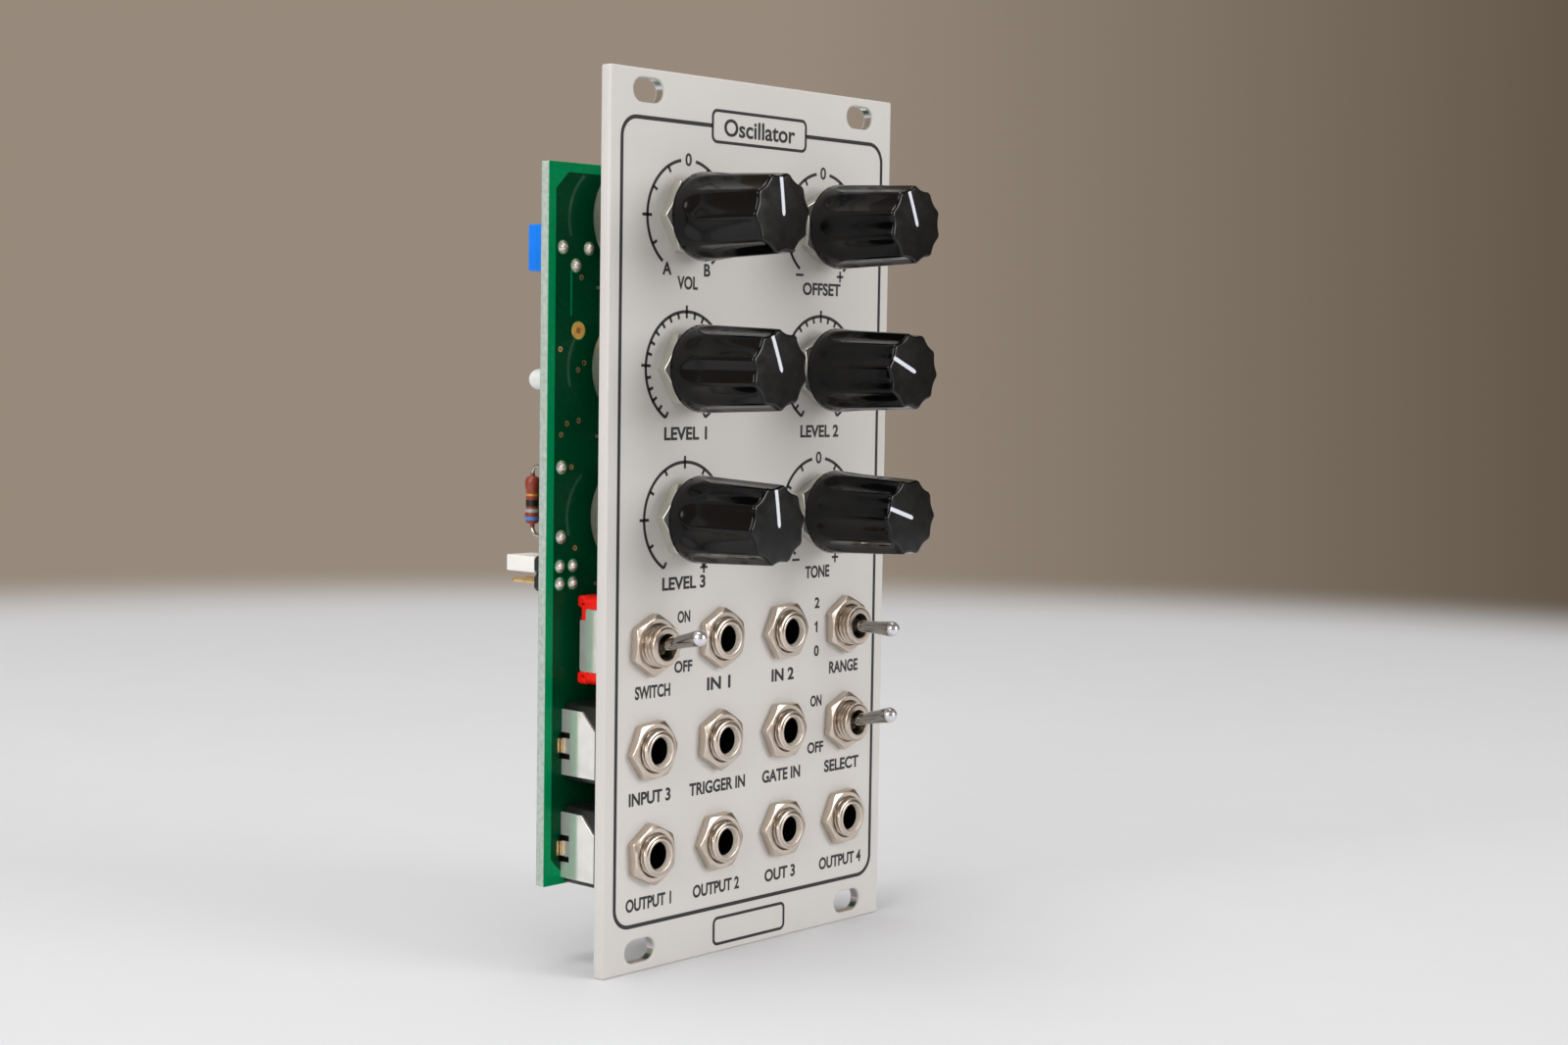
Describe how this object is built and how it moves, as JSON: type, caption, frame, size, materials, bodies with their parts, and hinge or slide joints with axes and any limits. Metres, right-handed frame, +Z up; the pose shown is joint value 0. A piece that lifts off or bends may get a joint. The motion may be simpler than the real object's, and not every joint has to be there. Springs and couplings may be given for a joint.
{
  "type": "eurorack module",
  "caption": "Tall synthesiser module: panel with fluted knobs over toggle switches and nutted sockets, and a circuit board carried behind it.",
  "frame": {"origin": "under the middle of the module's bounding box, level with the panel's bottom edge", "axes": "+Z up the panel, +X across it to the right as seen from the front, +Y back from the panel to the board"},
  "size_m": [0.0606, 0.042, 0.1285],
  "materials": {
    "panel": "satin light grey, printed in black",
    "board": "green solder mask on glass laminate",
    "pot_steel": "plated sheet steel",
    "shaft_steel": "turned",
    "nickel_nut": "nickel plated, bright",
    "knob": "glossy black with a white pointer",
    "socket_case": "moulded black with plated bush and side plate",
    "toggle_case": "moulded red in a plated frame",
    "lever": "polished",
    "trimmer": "moulded blue",
    "trimmer_rotor": "moulded white",
    "lamp": "milky epoxy",
    "resistor": "lacquered with colour bands",
    "header": "black base, gold plated pins",
    "jumper": "moulded white"
  },
  "bodies": {
    "module": {"front_panel": "panel", "circuit_board": "board", "pot_1": "pot_steel", "pot_nut_1": "nickel_nut", "pot_2": "pot_steel", "pot_nut_2": "nickel_nut", "pot_3": "pot_steel", "pot_nut_3": "nickel_nut", "pot_4": "pot_steel", "pot_nut_4": "nickel_nut", "pot_5": "pot_steel", "pot_nut_5": "nickel_nut", "pot_6": "pot_steel", "pot_nut_6": "nickel_nut", "socket_1": "socket_case", "socket_nut_1": "nickel_nut", "socket_2": "socket_case", "socket_nut_2": "nickel_nut", "socket_3": "socket_case", "socket_nut_3": "nickel_nut", "socket_4": "socket_case", "socket_nut_4": "nickel_nut", "socket_5": "socket_case", "socket_nut_5": "nickel_nut", "socket_6": "socket_case", "socket_nut_6": "nickel_nut", "socket_7": "socket_case", "socket_nut_7": "nickel_nut", "socket_8": "socket_case", "socket_nut_8": "nickel_nut", "socket_9": "socket_case", "socket_nut_9": "nickel_nut", "toggle_1": "toggle_case", "toggle_nut_1": "nickel_nut", "toggle_2": "toggle_case", "toggle_nut_2": "nickel_nut", "toggle_3": "toggle_case", "toggle_nut_3": "nickel_nut", "trimmer": "trimmer", "lamp": "lamp", "resistor": "resistor", "pin_header": "header", "power_header": "header"},
    "knob_1": {"knob_1": "knob", "shaft_1": "shaft_steel"},
    "knob_2": {"knob_2": "knob", "shaft_2": "shaft_steel"},
    "knob_3": {"knob_3": "knob", "shaft_3": "shaft_steel"},
    "knob_4": {"knob_4": "knob", "shaft_4": "shaft_steel"},
    "knob_5": {"knob_5": "knob", "shaft_5": "shaft_steel"},
    "knob_6": {"knob_6": "knob", "shaft_6": "shaft_steel"},
    "lever_1": {"lever_1": "lever"},
    "lever_2": {"lever_2": "lever"},
    "lever_3": {"lever_3": "lever"},
    "trimmer_rotor": {"trimmer_rotor": "trimmer_rotor"},
    "jumper": {"jumper": "jumper"}
  },
  "joints": [
    {"name": "knob_1_turn", "type": "hinge", "parent": "module", "child": "knob_1", "pos_m": [-0.0148, -0.0053, 0.1082], "axis": [0, 1, 0], "range_deg": [-144, 156]},
    {"name": "knob_2_turn", "type": "hinge", "parent": "module", "child": "knob_2", "pos_m": [0.0144, -0.0053, 0.1082], "axis": [0, 1, 0], "range_deg": [-129, 171]},
    {"name": "knob_3_turn", "type": "hinge", "parent": "module", "child": "knob_3", "pos_m": [-0.0148, -0.0053, 0.0866], "axis": [0, 1, 0], "range_deg": [-129, 171]},
    {"name": "knob_4_turn", "type": "hinge", "parent": "module", "child": "knob_4", "pos_m": [0.0144, -0.0053, 0.0866], "axis": [0, 1, 0], "range_deg": [-83, 217]},
    {"name": "knob_5_turn", "type": "hinge", "parent": "module", "child": "knob_5", "pos_m": [-0.0148, -0.0053, 0.065], "axis": [0, 1, 0], "range_deg": [-143, 157]},
    {"name": "knob_6_turn", "type": "hinge", "parent": "module", "child": "knob_6", "pos_m": [0.0144, -0.0053, 0.065], "axis": [0, 1, 0], "range_deg": [-77, 223]},
    {"name": "lever_1_throw", "type": "hinge", "parent": "module", "child": "lever_1", "pos_m": [-0.02127, -0.0039, 0.0471], "axis": [-1, 0, 0], "range_deg": [-25, 0]},
    {"name": "lever_2_throw", "type": "hinge", "parent": "module", "child": "lever_2", "pos_m": [0.02088, -0.0039, 0.0471], "axis": [-1, 0, 0], "range_deg": [-12.5, 12.5]},
    {"name": "lever_3_throw", "type": "hinge", "parent": "module", "child": "lever_3", "pos_m": [0.02088, -0.0039, 0.032], "axis": [-1, 0, 0], "range_deg": [-25, 0]},
    {"name": "trimmer_turn", "type": "hinge", "parent": "module", "child": "trimmer_rotor", "pos_m": [-0.0243, 0.0173, 0.1037], "axis": [0, -1, 0], "range_deg": [-130, 130]},
    {"name": "jumper_pull", "type": "slide", "parent": "module", "child": "jumper", "axis": [0, 1, 0], "range_m": [0, 0.0061]}
  ]
}
